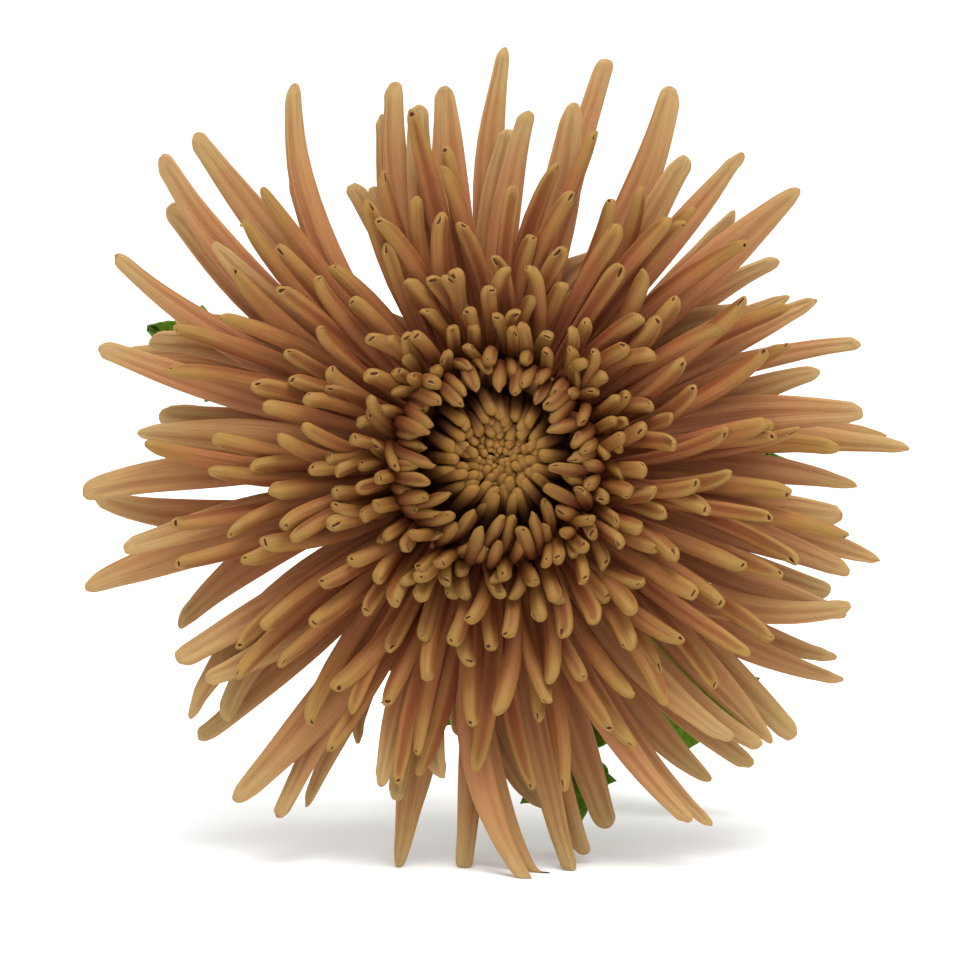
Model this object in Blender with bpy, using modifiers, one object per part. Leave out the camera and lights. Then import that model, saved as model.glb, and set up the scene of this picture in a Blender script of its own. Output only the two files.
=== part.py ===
"""Spider chrysanthemum: one cut flower, lying on a table.

Metres, +Z up. The table is z = 0, the bloom looks towards -Y and the stem runs back along +Y.
The bloom is drawn in its own frame: x to the right, y up and z out of its face, from the middle
of the receptacle that every floret grows on. Each leaf is drawn in a frame of the same kind at
its joint on the stem. Clock angles run clockwise from the top, as seen by someone who faces the
bloom.
"""

import math
import random

import bmesh
import bpy
from mathutils import Matrix, Vector
from mathutils.geometry import interpolate_bezier

# How the cut flower lies
BLOOM_HEIGHT = 0.0609
BLOOM_RISE = math.radians(13)
TABLE_SIZE = 0.8

# Florets in spiral order turn by the golden angle from each to the next
GOLDEN_ANGLE = math.radians(137.508)
# A floret is a four-sided tube, drawn so that it is about as wide as a round one
FLORET_SIDES = 4
CORNER_TURN = math.radians(45)
CORNER_SCALE = 1.32

# Clock angle, reach, lean to the side and width of each long floret, in degrees and millimetres
LONG_FLORETS = (
    (1.3, 66.8, -4.5, 4.9), (3.9, 55.9, -5.5, 7.8), (12.3, 57.7, 2.3, 7),
    (15.2, 67.2, -1.4, 4.6), (24.8, 65.7, 5.3, 6), (31.8, 56.3, 1, 5.7), (37.9, 63.4, -1.5, 5),
    (42.9, 55.1, 3.7, 5.3), (47.7, 63.9, -0.6, 6.8), (53.2, 55.4, -5.8, 4.5),
    (58.8, 47.1, -14, 5.7), (61.5, 55.8, -1.6, 8.3), (70.8, 60.5, -7.5, 3.9),
    (73.4, 52.7, -0.6, 5.2), (82, 57.4, -5.6, 6.9), (85.9, 64.6, -5.7, 7.4),
    (93, 56.4, -5.6, 4.9), (98.5, 54.1, 1.4, 5.9), (104.6, 61.8, -3.1, 9.1),
    (111.6, 59, 2.9, 7.7), (111.9, 59.1, 16.3, 5.4), (120, 63.4, 8.3, 7.7),
    (133.6, 62.6, -2.2, 8.9), (138.1, 59.8, 7.6, 7.8), (139.1, 60.9, 6.9, 5.3),
    (145.5, 59, 8.4, 6.2), (150.2, 65, 8.6, 7.2), (162.5, 58.5, 1, 5.9), (168.2, 64, 3.1, 7.1),
    (174.1, 67.4, 14.7, 7.7), (172.1, 53.1, 17.1, 6.1), (184.4, 62.8, 0.3, 4.8),
    (189.7, 49.2, 13, 6.1), (186.8, 42.1, 7.5, 5.9), (193.4, 64.4, 2.5, 6.2),
    (197.9, 54, 4.5, 7.5), (206.7, 47.8, 12, 5), (210.4, 63.8, 3.2, 7.1), (217.7, 65.6, -4, 6.9),
    (227.7, 62.3, -1.7, 5), (228.8, 61.3, 12.4, 8.9), (238.3, 57.7, -1.1, 5.7),
    (243.7, 55.2, 11.5, 6.5), (253.6, 66.4, 3, 6.9), (257, 58.7, 3.4, 5.3),
    (266.3, 62.8, -10.8, 5.9), (266.6, 64.1, 5.1, 6), (275, 55.5, 2.3, 6.4),
    (279.8, 51.8, -1.6, 7), (278.9, 52.8, 1.8, 5.5), (286.5, 63.8, -1.7, 4.8),
    (288.9, 61.7, 10, 8.7), (294.9, 54.9, 10.2, 5.4), (298.9, 67.1, -6.2, 4.8),
    (309.3, 66, -6.4, 6.4), (313.2, 71.3, -9.2, 5.8), (308.3, 55.8, -4.1, 5.4),
    (318.4, 71, -3.8, 5.9), (324.8, 55.3, -7.4, 4.7), (332.2, 67, -16, 5.1),
    (335, 50.7, 3.7, 7.2), (344, 62, -8.8, 7.6), (348, 57.3, -5.8, 5.7),
    (352.6, 61.1, -3.1, 6.6), (26.6, 38, -19.7, 6.8), (233.1, 55.7, -6.6, 4.9),
)
LONG_STATIONS = (0.0, 0.36, 0.66, 0.95, 1.0)
LONG_TAPER = 0.35

# Clock angle and half width in degrees, and reach in metres, of the gaps between florets
GAPS = (
    (20.6, 3.6, 0.038), (42.1, 3.9, 0.029), (56.8, 3.5, 0.049), (76.2, 6.0, 0.031),
    (89.1, 1.4, 0.041), (99.3, 2.7, 0.041), (139.8, 2.8, 0.056), (144.6, 3.7, 0.055),
    (176.5, 3.2, 0.039), (179.7, 4.3, 0.030), (187.4, 6.3, 0.048), (199.3, 2.7, 0.050),
    (208.0, 1.5, 0.037), (219.6, 4.2, 0.033), (241.0, 7.0, 0.026), (264.9, 3.0, 0.035),
    (302.0, 4.5, 0.025), (312.3, 2.0, 0.048), (326.9, 7.0, 0.027), (338.0, 0.9, 0.034),
    (356.1, 4.8, 0.033),
)

# Inner whorls, from the first spreading quill to the last upright one
QUILL_COUNT = 200
QUILL_STATIONS = (0.0, 0.52, 0.95, 1.0)
HOOK_STATIONS = (0.0, 0.38, 0.66, 0.92, 1.0)
HOOK_RANK = 0.80
QUILL_REACH = (0.0545, 0.0462, 0.0380, 0.0298, 0.0222, 0.0166, 0.0127)
QUILL_HEIGHT = (0.0070, 0.0104, 0.0136, 0.0165, 0.0188, 0.0202, 0.0203)
QUILL_BEND = (20, 21, 22, 25, 32, 46, 62)
QUILL_WIDTH = (0.0043, 0.0041, 0.0040, 0.0038, 0.0036, 0.0034, 0.0032)

# Core that the long florets and quills grow from, top to bottom as (radius, height)
CORE_PROFILE = (
    (0, 0.0071), (0.0143, 0.0071), (0.0162, 0.0050), (0.0166, 0.0010),
    (0.0146, -0.0030), (0.0105, -0.0049), (0, -0.0050),
)
ROOT_RADIUS = (0.0090, 0.0150)
ROOT_HEIGHT = (0.0000, 0.0050)

# Heart: a low dome that the young florets close over, in a well of the ray florets
HEART_COUNT = 50
HEART_FOOT = 0.0127
HEART_STATIONS = (0.0, 0.38, 0.84, 1.0)
HEART_PROFILE = (
    (0, 0.0168), (0.0046, 0.0160), (0.0086, 0.0140), (0.0114, 0.0110),
    (0.0119, 0.0090), (0.0112, 0.0074), (0, 0.0074),
)
WELL_PROFILE = (
    (0, 0.0222), (0.0070, 0.0214), (0.0105, 0.0192), (0.0133, 0.0160), (0.0143, 0.0130),
    (0.0143, 0.0071), (0, 0.0071),
)

# Involucre: the green cup behind the bloom, with rows of overlapping bracts
CUP_PROFILE = (
    (0, -0.0053), (0.0100, -0.0053), (0.0108, -0.0068), (0.0096, -0.0098),
    (0.0066, -0.0126), (0.0038, -0.0143), (0.0033, -0.0158), (0, -0.0158),
)
# Number in the row, root and tip as (radius, height), and width of a bract
BRACT_ROWS = (
    (9, (0.0050, -0.0106), (0.0128, -0.0062), 0.0062),
    (7, (0.0032, -0.0132), (0.0106, -0.0094), 0.0060),
)
BRACT_STATIONS = (0.0, 0.50, 0.82, 1.0)

# Stem: centre line back from the involucre to the cut end, and radii at each end
STEM_FRONT = 0.0161
STEM_COURSE_MIDDLE = ((0.0045, 0.105, 0.0375), (-0.0050, 0.185, 0.0170))
STEM_CUT_END = (0.0015, 0.2580, 0.0026)
STEM_STEPS = 12
STEM_RADII = (0.0025, 0.0030)
NODE_GAP = 0.0003

# Leaf: distance behind the bloom, clock angle, reach, forward run, recurve, half width
LEAVES = (
    (0.027, 166.5, 0.0590, 0.012, 36, 0.0118),
    (0.038, 293.3, 0.0640, 0.011, 42, 0.0100),
    (0.050, 197, 0.0455, 0.024, 40, 0.0115),
    (0.062, 137, 0.0585, 0.022, 42, 0.0140),
    (0.078, 95, 0.0450, 0.022, 45, 0.0145),
    (0.102, 43, 0.0455, 0.028, 48, 0.0150),
)
LEAF_THICKNESS = 0.0007
LEAF_STALK_SHARE = 0.22
# Share of the leaf, depth under its upper face and radius at each point of the stalk and midrib
STALK = (
    (0.0, 0.0, 0.0018), (0.08, 0.0, 0.0012), (0.25, 0.0003, 0.0010), (0.48, 0.0004, 0.0008),
    (0.68, 0.0004, 0.0005),
)
LEAF_VEIN_ANGLE = math.radians(38)
# Half width of the blade at each station, stalk to tip, as a share of the widest
LEAF_OUTLINE = (
    0.10, 0.30, 0.66, 0.36, 0.88, 0.98, 0.52, 1.00, 0.60, 0.84, 0.44, 0.26, 0.03,
)


def smooth(value):
    """0 below 0, 1 above 1, and an easy S between."""
    held = min(1.0, max(0.0, value))
    return held * held * (3 - 2 * held)


def mix(start, end, share):
    return start + (end - start) * share


def along(values, share):
    """The value at this share of an evenly spaced list."""
    place = min(1.0, max(0.0, share)) * (len(values) - 1)
    low = min(int(place), len(values) - 2)
    return mix(values[low], values[low + 1], place - low)


def clock(degrees):
    """Angle anticlockwise from the right of a clock angle."""
    return math.radians(90 - degrees)


class Arc:
    """An arc from root to tip, both (radius, height), in the plane at one azimuth of the axis.

    It turns by bend towards the axis. sway carries its tip round the axis.
    """

    def __init__(self, azimuth, root, tip, bend, sway=0.0):
        run, climb = tip[0] - root[0], tip[1] - root[1]
        self.azimuth = azimuth
        self.root = root
        self.bend = bend
        self.start = math.atan2(climb, run) - bend / 2
        self.radius = math.hypot(run, climb) / (2 * math.sin(bend / 2))
        self.length = self.radius * bend
        self.sway = sway

    def frame(self, share):
        """The point, direction, side and upper normal at a share of the length."""
        angle = self.start + self.bend * share
        out = self.root[0] + self.radius * (math.sin(angle) - math.sin(self.start))
        up = self.root[1] - self.radius * (math.cos(angle) - math.cos(self.start))
        turn = self.azimuth + self.sway * share * share
        radial = Vector((math.cos(turn), math.sin(turn), 0))
        axis = Vector((0, 0, 1))
        direction = radial * math.cos(angle) + axis * math.sin(angle)
        normal = axis * math.cos(angle) - radial * math.sin(angle)
        return radial * out + axis * up, direction, normal.cross(direction), normal


class Floret:
    """A closed tube along an arc: a slim neck that swells to its peak, tapers and ends round."""

    def __init__(self, arc, width, depth, neck, peak, taper=0.0, roll=0.0):
        self.arc = arc
        self.width = width
        self.depth = depth
        self.neck = neck
        self.peak = peak
        self.taper = taper
        self.roll = roll

    def swell(self, share):
        """Share of the full width."""
        body = mix(self.neck, 1.0, smooth(share / self.peak))
        body *= 1 - self.taper * smooth((share - self.peak) / (1 - self.peak))
        cap = min(0.35, 0.8 * self.width / self.arc.length)
        past = max(0.0, (share - (1 - cap)) / cap)
        return body * math.sqrt(max(0.0, 1 - past * past))

    def surface(self, share, angle, scale):
        point, _, side, normal = self.arc.frame(share)
        half = self.swell(share) / 2 * scale
        across = math.sin(angle) * self.width * half
        above = math.cos(angle) * self.depth * half
        tilt = Matrix.Rotation(self.roll, 2)
        flat = tilt @ Vector((across, above))
        return point + side * flat.x + normal * flat.y


def long_florets():
    """The outer whorls: broad flattened tubes that spread flat, in three layers by turns."""
    draw = random.Random(11)
    florets = []
    for index, (hour, reach, lean, width) in enumerate(LONG_FLORETS):
        layer = (index % 3) / 2
        root = (ROOT_RADIUS[0], mix(-0.0018, 0.0008, layer))
        tip = (reach * 0.001, mix(-0.0085, 0.0030, layer))
        sway = math.radians(lean)
        florets.append(
            Floret(
                Arc(clock(hour) - sway, root, tip, math.radians(11), sway),
                width * 0.001,
                0.0021,
                neck=0.36,
                peak=0.60,
                taper=LONG_TAPER,
                roll=math.radians(draw.uniform(-12, 12)),
            )
        )
    return florets


def clear_of_gaps(turn, reach):
    """The azimuth, moved to the nearer side of a gap that a floret of this reach would cross."""
    for hour, half_width, gap_reach in GAPS:
        away = (turn - clock(hour) + math.pi) % (2 * math.pi) - math.pi
        half = math.radians(half_width)
        if reach > gap_reach and abs(away) < half:
            return clock(hour) + math.copysign(half, away)
    return turn


def quill_florets():
    """The inner whorls: round quills that swell to the tip, from spreading to upright."""
    draw = random.Random(7)
    florets = []
    for index in range(QUILL_COUNT):
        rank = index / (QUILL_COUNT - 1)
        root = (mix(*ROOT_RADIUS, rank), mix(*ROOT_HEIGHT, rank))
        reach = along(QUILL_REACH, rank) * draw.uniform(0.95, 1.05)
        height = along(QUILL_HEIGHT, rank) + draw.uniform(-0.002, 0.002)
        turn = clear_of_gaps(index * GOLDEN_ANGLE + math.radians(draw.uniform(-3, 3)), reach)
        lean = math.radians(draw.uniform(-5, 5))
        bend = math.radians(along(QUILL_BEND, rank) + draw.uniform(-5, 7))
        florets.append(
            Floret(
                Arc(turn - lean, root, (reach, height), bend, lean),
                along(QUILL_WIDTH, rank) * draw.uniform(0.9, 1.12),
                mix(0.0024, 0.0027, rank),
                neck=mix(0.40, 0.62, rank),
                peak=0.86,
            )
        )
    return florets


def heart_florets():
    """The young florets: short closed grains in a swirl, bent in over the middle."""
    draw = random.Random(5)
    florets = []
    for index in range(HEART_COUNT):
        rank = index / (HEART_COUNT - 1)
        foot = HEART_FOOT * math.sqrt(1 - 0.985 * rank)
        size = foot / HEART_FOOT
        root = (foot, mix(0.0160, 0.0095, size ** 2))
        tip = (foot * mix(0.40, 0.64, size), mix(0.0198, 0.0184, size))
        bend = math.radians(mix(40, 76, size) + draw.uniform(-5, 5))
        arc = Arc(index * GOLDEN_ANGLE, root, tip, bend, math.radians(mix(30, 13, size)))
        wide = mix(0.0018, 0.0026, size)
        florets.append(Floret(arc, wide, wide * 0.85, neck=0.7, peak=0.5))
    return florets


def bracts():
    """The rows of bracts, the shorter ones lower and outside."""
    florets = []
    for row, (count, root, tip, width) in enumerate(BRACT_ROWS):
        for index in range(count):
            turn = (index + row / 2) * 2 * math.pi / count
            arc = Arc(turn, root, tip, math.radians(44))
            florets.append(Floret(arc, width, 0.0016, neck=0.8, peak=0.45))
    return florets


def new_object(name, mesh, collection):
    made = bpy.data.objects.new(name, mesh)
    collection.objects.link(made)
    return made


def new_collection(name):
    made = bpy.data.collections.new(name)
    bpy.context.scene.collection.children.link(made)
    return made


def new_empty(name, placed, collection):
    made = new_object(name, None, collection)
    made.empty_display_size = 0.01
    made.matrix_world = placed
    return made


def applied(made):
    """Replaces the object's mesh by what its modifiers make of it."""
    bpy.context.view_layer.update()
    graph = bpy.context.evaluated_depsgraph_get()
    finished = bpy.data.meshes.new_from_object(made.evaluated_get(graph))
    made.modifiers.clear()
    made.data = finished
    return made


def keep_largest_shell(made):
    """Drops loose scraps, and the shells of pockets that joining has sealed."""
    bm = bmesh.new()
    bm.from_mesh(made.data)
    waiting = set(bm.faces)
    shells = []
    while waiting:
        shell = []
        front = [waiting.pop()]
        while front:
            face = front.pop()
            shell.append(face)
            for edge in face.edges:
                for beside in edge.link_faces:
                    if beside in waiting:
                        waiting.remove(beside)
                        front.append(beside)
        shells.append(shell)
    shells.sort(key=len)
    spare = [face for shell in shells[:-1] for face in shell]
    bmesh.ops.delete(bm, geom=spare, context="FACES")
    bm.to_mesh(made.data)
    bm.free()


def fuse(body, repeats):
    """Joins a collection of repeats into the body by one Boolean union, and removes them."""
    join = body.modifiers.new("join", "BOOLEAN")
    join.operation = "UNION"
    join.operand_type = "COLLECTION"
    join.collection = repeats
    join.solver = "MANIFOLD"
    applied(body)
    keep_largest_shell(body)
    for spare in list(repeats.objects):
        bpy.data.objects.remove(spare)
    bpy.data.collections.remove(repeats)


def cut(body, cutter):
    """Takes the cutter out of the body."""
    take = body.modifiers.new("cut", "BOOLEAN")
    take.operation = "DIFFERENCE"
    take.object = cutter
    take.solver = "MANIFOLD"
    applied(body)
    keep_largest_shell(body)


def floret_mesh(floret, stations):
    """A sphere drawn out along the floret, with a ring of points at each inner station."""
    rings = len(stations) - 1
    bm = bmesh.new()
    bmesh.ops.create_uvsphere(bm, u_segments=FLORET_SIDES, v_segments=rings, radius=1.0)
    for vertex in bm.verts:
        latitude = math.acos(max(-1.0, min(1.0, -vertex.co.z)))
        station = round(latitude / math.pi * rings)
        angle = math.atan2(vertex.co.x, vertex.co.y) + CORNER_TURN
        vertex.co = floret.surface(stations[station], angle, CORNER_SCALE)
    bm.normal_update()
    bmesh.ops.recalc_face_normals(bm, faces=bm.faces)
    bmesh.ops.triangulate(bm, faces=bm.faces)
    mesh = bpy.data.meshes.new("floret")
    bm.to_mesh(mesh)
    bm.free()
    return mesh


def repeats_of(florets, stations, name):
    group = new_collection(name)
    for index, floret in enumerate(florets):
        new_object(f"{name}_{index}", floret_mesh(floret, stations), group)
    return group


def turned(name, profile, steps, collection):
    """A solid of revolution about Z, from (radius, height) pairs running top to bottom."""
    mesh = bpy.data.meshes.new(name)
    points = [(radius, 0, height) for radius, height in profile]
    mesh.from_pydata(points, [(i, i + 1) for i in range(len(points) - 1)], [])
    made = new_object(name, mesh, collection)
    screw = made.modifiers.new("turn", "SCREW")
    screw.steps = steps
    screw.render_steps = steps
    screw.use_merge_vertices = True
    screw.merge_threshold = 0.00005
    screw.use_smooth_shade = False
    applied(made)
    face_out(made.data)
    return made


def face_out(mesh):
    bm = bmesh.new()
    bm.from_mesh(mesh)
    bmesh.ops.recalc_face_normals(bm, faces=bm.faces)
    bm.to_mesh(mesh)
    bm.free()


def rod(name, points, radii, roundness, collection):
    """A round rod through the points, closed at both ends."""
    curve = bpy.data.curves.new(name, "CURVE")
    curve.dimensions = "3D"
    curve.bevel_depth = 1.0
    curve.bevel_resolution = roundness
    curve.use_fill_caps = True
    spline = curve.splines.new("POLY")
    spline.points.add(len(points) - 1)
    for point, place, radius in zip(spline.points, points, radii):
        point.co = (*place, 1.0)
        point.radius = radius
    shape = new_object(name, curve, collection)
    bpy.context.view_layer.update()
    mesh = bpy.data.meshes.new_from_object(shape)
    bpy.data.objects.remove(shape)
    bm = bmesh.new()
    bm.from_mesh(mesh)
    bmesh.ops.remove_doubles(bm, verts=bm.verts, dist=0.00001)
    bmesh.ops.recalc_face_normals(bm, faces=bm.faces)
    bm.to_mesh(mesh)
    bm.free()
    return new_object(name, mesh, collection)


def material(name, colour, roughness):
    made = bpy.data.materials.new(name)
    made.use_nodes = True
    shader = made.node_tree.nodes["Principled BSDF"]
    shader.inputs["Base Color"].default_value = (*colour, 1.0)
    shader.inputs["Roughness"].default_value = roughness
    shader.inputs["Metallic"].default_value = 0.0
    made.diffuse_color = (*colour, 1.0)
    return made


def finish(made, coat, parent=None):
    made.data.materials.clear()
    made.data.materials.append(coat)
    made.data.shade_smooth()
    made.data.set_sharp_from_angle(angle=math.radians(50))
    made.parent = parent


def hide(helper):
    helper.hide_render = True
    helper.display_type = "WIRE"


def facing(forward, place):
    """The placing of a frame whose z looks forward and whose y is as high as it can be."""
    side = Vector((0, 0, 1)).cross(forward).normalized()
    high = forward.cross(side)
    turn = Matrix((side, high, forward)).transposed().to_4x4()
    return Matrix.Translation(place) @ turn


def stem_course(bloom_place, backward):
    """The stem's centre line and radius at each step, from the bloom to the cut end."""
    first = bloom_place + backward * STEM_FRONT
    second, third = (Vector(place) for place in STEM_COURSE_MIDDLE)
    last = Vector(STEM_CUT_END)
    points = interpolate_bezier(first, second, third, last, STEM_STEPS + 1)
    radii = [mix(*STEM_RADII, step / STEM_STEPS) for step in range(STEM_STEPS + 1)]
    return points, radii


def station_on(points, radii, distance):
    """The point, direction towards the bloom and radius at a distance down the stem."""
    walked = 0.0
    for step in range(len(points) - 1):
        stride = (points[step + 1] - points[step]).length
        if walked + stride >= distance:
            share = (distance - walked) / stride
            place = points[step].lerp(points[step + 1], share)
            forward = (points[step] - points[step + 1]).normalized()
            return place, forward, mix(radii[step], radii[step + 1], share)
        walked += stride
    raise ValueError("past the end of the stem")


def leaf_blade(arc, half_width, seed):
    """The lobed blade as one grid: side veins run obliquely forward, edges wave a little."""
    draw = random.Random(seed)
    wave = draw.uniform(0, 6)
    bm = bmesh.new()
    stations = len(LEAF_OUTLINE) - 1
    bmesh.ops.create_grid(bm, x_segments=4, y_segments=stations, size=1.0)
    for vertex in bm.verts:
        v = vertex.co.x
        u = (vertex.co.y + 1) / 2
        wide = half_width * along(LEAF_OUTLINE, u)
        reach = abs(v) * wide * math.sin(LEAF_VEIN_ANGLE) / arc.length
        share = mix(LEAF_STALK_SHARE, 0.95, u) + reach
        point, _, side, normal = arc.frame(share)
        rise = 0.22 * abs(v) * wide + 0.0011 * v * v * math.sin(9 * u + wave + 2 * v)
        vertex.co = point + side * v * wide * math.cos(LEAF_VEIN_ANGLE) + normal * rise
    bmesh.ops.triangulate(bm, faces=bm.faces)
    mesh = bpy.data.meshes.new("blade")
    bm.to_mesh(mesh)
    bm.free()
    return mesh


def leaf(name, arc, half_width, seed, collection):
    """A blade of even thickness on a stalk that runs on under it as the midrib."""
    made = new_object(name, leaf_blade(arc, half_width, seed), collection)
    thick = made.modifiers.new("thickness", "SOLIDIFY")
    thick.thickness = LEAF_THICKNESS
    thick.offset = 0.0
    applied(made)
    face_out(made.data)
    points = [arc.frame(share)[0] - arc.frame(share)[3] * low for share, low, _ in STALK]
    stalk = rod("stalk", points, [radius for _, _, radius in STALK], 1, collection)
    join = made.modifiers.new("join", "BOOLEAN")
    join.operation = "UNION"
    join.object = stalk
    applied(made)
    bpy.data.objects.remove(stalk)
    return made


def centred(base, nodes):
    """Moves the base, and all that hangs on it, so that the origin is under the nodes' middle."""
    bpy.context.view_layer.update()
    points = [made.matrix_world @ vertex.co for made in nodes for vertex in made.data.vertices]
    for axis in (0, 1):
        places = [point[axis] for point in points]
        base.location[axis] = -(min(places) + max(places)) / 2


def main():
    for old in list(bpy.data.objects):
        bpy.data.objects.remove(old)
    flower = new_collection("spider_chrysanthemum")
    cutters = new_collection("cutters")
    base = new_empty("flower_base", Matrix(), flower)

    bronze = material("petal_bronze", (0.36, 0.165, 0.058), 0.6)
    olive = material("petal_olive", (0.29, 0.165, 0.045), 0.6)
    bract_green = material("bract_green", (0.10, 0.15, 0.035), 0.6)
    stem_green = material("stem_green", (0.11, 0.17, 0.035), 0.55)
    leaf_green = material("leaf_green", (0.045, 0.095, 0.018), 0.55)

    # The table, which the lowest florets and the stem's cut end press flat on
    bpy.ops.mesh.primitive_cube_add(size=TABLE_SIZE, location=(0, 0, -TABLE_SIZE / 2))
    table = bpy.context.object
    table.name = "table"
    for home in list(table.users_collection):
        home.objects.unlink(table)
    cutters.objects.link(table)
    hide(table)

    forward = Vector((0, -math.cos(BLOOM_RISE), math.sin(BLOOM_RISE)))
    bloom_place = Vector((0, 0, BLOOM_HEIGHT))
    bloom = new_empty("bloom", facing(forward, bloom_place), flower)
    bloom.parent = base

    # Ray florets, with the well that the heart sits in
    rays = turned("ray_florets", CORE_PROFILE, 20, flower)
    fuse(rays, repeats_of(long_florets(), LONG_STATIONS, "long_florets"))
    quills = quill_florets()
    hooks = round(HOOK_RANK * QUILL_COUNT)
    fuse(rays, repeats_of(quills[:hooks], QUILL_STATIONS, "quills"))
    fuse(rays, repeats_of(quills[hooks:], HOOK_STATIONS, "hooked_quills"))
    well = turned("well", WELL_PROFILE, 24, cutters)
    hide(well)
    cut(rays, well)
    finish(rays, bronze, bloom)
    cut(rays, table)

    # Heart
    heart = turned("heart_florets", HEART_PROFILE, 20, flower)
    fuse(heart, repeats_of(heart_florets(), HEART_STATIONS, "grains"))
    finish(heart, olive, bloom)

    # Involucre
    involucre = turned("involucre", CUP_PROFILE, 12, flower)
    fuse(involucre, repeats_of(bracts(), BRACT_STATIONS, "bracts"))
    finish(involucre, bract_green, bloom)

    # Stem
    points, radii = stem_course(bloom_place, -forward)
    stem = rod("stem", points, radii, 3, flower)
    finish(stem, stem_green, base)
    cut(stem, table)

    # Leaves, each foot hollowed to the stem that it clasps
    nodes = [rays, heart, involucre, stem]
    room = rod("stem_room", points, [radius + NODE_GAP for radius in radii], 3, cutters)
    hide(room)
    for index, (distance, hour, reach, run, recurve, half_width) in enumerate(LEAVES):
        name = f"leaf_{index + 1}"
        place, ahead, radius = station_on(points, radii, distance - STEM_FRONT)
        joint = new_empty(f"joint_{index + 1}", facing(ahead, place), flower)
        joint.parent = base
        arc = Arc(clock(hour), (radius * 0.6, 0), (reach, run), -math.radians(recurve))
        blade = leaf(name, arc, half_width, 20 + index, flower)
        finish(blade, leaf_green, joint)
        cut(blade, room)
        nodes.append(blade)

    for cutter in (table, room):
        cutter.parent = base
    well.parent = bloom
    centred(base, nodes)


main()
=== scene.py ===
import math
import random

import bmesh
import bpy
from mathutils import Matrix, Vector
from mathutils.geometry import interpolate_bezier


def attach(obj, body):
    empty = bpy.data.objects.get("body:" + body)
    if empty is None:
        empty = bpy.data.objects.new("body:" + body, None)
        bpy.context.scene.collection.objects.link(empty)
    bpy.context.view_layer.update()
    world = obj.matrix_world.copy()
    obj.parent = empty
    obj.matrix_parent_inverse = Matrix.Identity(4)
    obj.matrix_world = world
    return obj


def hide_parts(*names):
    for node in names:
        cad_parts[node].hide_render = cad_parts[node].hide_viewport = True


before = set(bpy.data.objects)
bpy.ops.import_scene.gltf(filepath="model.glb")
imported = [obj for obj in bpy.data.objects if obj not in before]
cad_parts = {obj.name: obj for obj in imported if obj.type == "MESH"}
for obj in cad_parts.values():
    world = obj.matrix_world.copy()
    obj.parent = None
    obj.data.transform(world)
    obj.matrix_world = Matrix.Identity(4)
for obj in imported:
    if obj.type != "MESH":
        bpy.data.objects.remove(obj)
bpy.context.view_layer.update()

# Stem: the cut stalk of the flower, green and faintly ribbed, with a swelling at each joint.
# It grew in one piece with the bloom and leaves, and was cut square with a knife. It is firm
# green rind round a pale pith, and it lies on its cut end.
FLOWER_BASE = Vector((0.000073, -0.116654, 0))
BLOOM_PLACE = FLOWER_BASE + Vector((0, 0, 0.0609))
BLOOM_RISE = math.radians(13)
FORWARD = Vector((0, -math.cos(BLOOM_RISE), math.sin(BLOOM_RISE)))
# The stem starts this far behind the bloom's middle and runs through two guide points
STEM_FRONT = 0.0161
STEM_MIDDLE = (Vector((0.0045, 0.105, 0.0375)), Vector((-0.0050, 0.185, 0.0170)))
STEM_CUT_END = Vector((0.0015, 0.2580, 0.0026))
STEM_RADII = (0.0025, 0.0030)
STEM_SIDES = 32
STEM_RINGS = 90
STEM_RIBS = 8
RIB_HEIGHT = 0.035
# How far each leaf joint lies behind the bloom's middle
JOINT_DISTANCES = (0.027, 0.038, 0.050, 0.062, 0.078, 0.102, 0.137, 0.169, 0.204, 0.236)
JOINT_SWELLING = 0.00055
JOINT_LENGTH = 0.0026
# Insets of the cut face: width, depth, and 1 where they are pith
CUT_INSETS = ((0.00045, 0.0, 0.0), (0.00012, 0.0, 1.0), (0.0009, 0.0003, 1.0))
STEM_COLOUR = (0.115, 0.165, 0.038)
STEM_STREAK = (0.215, 0.255, 0.085)
STEM_BLUSH = (0.125, 0.075, 0.030)
PITH_COLOUR = (0.56, 0.58, 0.36)


def mix(start, end, share):
    return start + (end - start) * share


def smooth(value):
    """0 below 0, 1 above 1, and an easy S between."""
    held = min(1.0, max(0.0, value))
    return held * held * (3 - 2 * held)


def bump_at(value, centre, width):
    """1 at the centre, falling off to both sides."""
    return math.exp(-(((value - centre) / width) ** 2))


def facing(forward, place):
    """The placing of a frame whose z looks forward and whose y is as high as it can be."""
    side = Vector((0, 0, 1)).cross(forward).normalized()
    high = forward.cross(side)
    turn = Matrix((side, high, forward)).transposed().to_4x4()
    return Matrix.Translation(place) @ turn


def station_on(points, distance):
    """The point and the direction back towards the first one, at a distance along the line."""
    walked = 0.0
    for start, end in zip(points, points[1:]):
        stride = (end - start).length
        if walked + stride >= distance:
            return start.lerp(end, (distance - walked) / stride), (start - end).normalized()
        walked += stride
    return points[-1], (points[-2] - points[-1]).normalized()


def face_out(bm):
    """Turns the faces of a closed shell outward."""
    bmesh.ops.recalc_face_normals(bm, faces=bm.faces)
    if bm.calc_volume(signed=True) < 0:
        bmesh.ops.reverse_faces(bm, faces=bm.faces)


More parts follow.
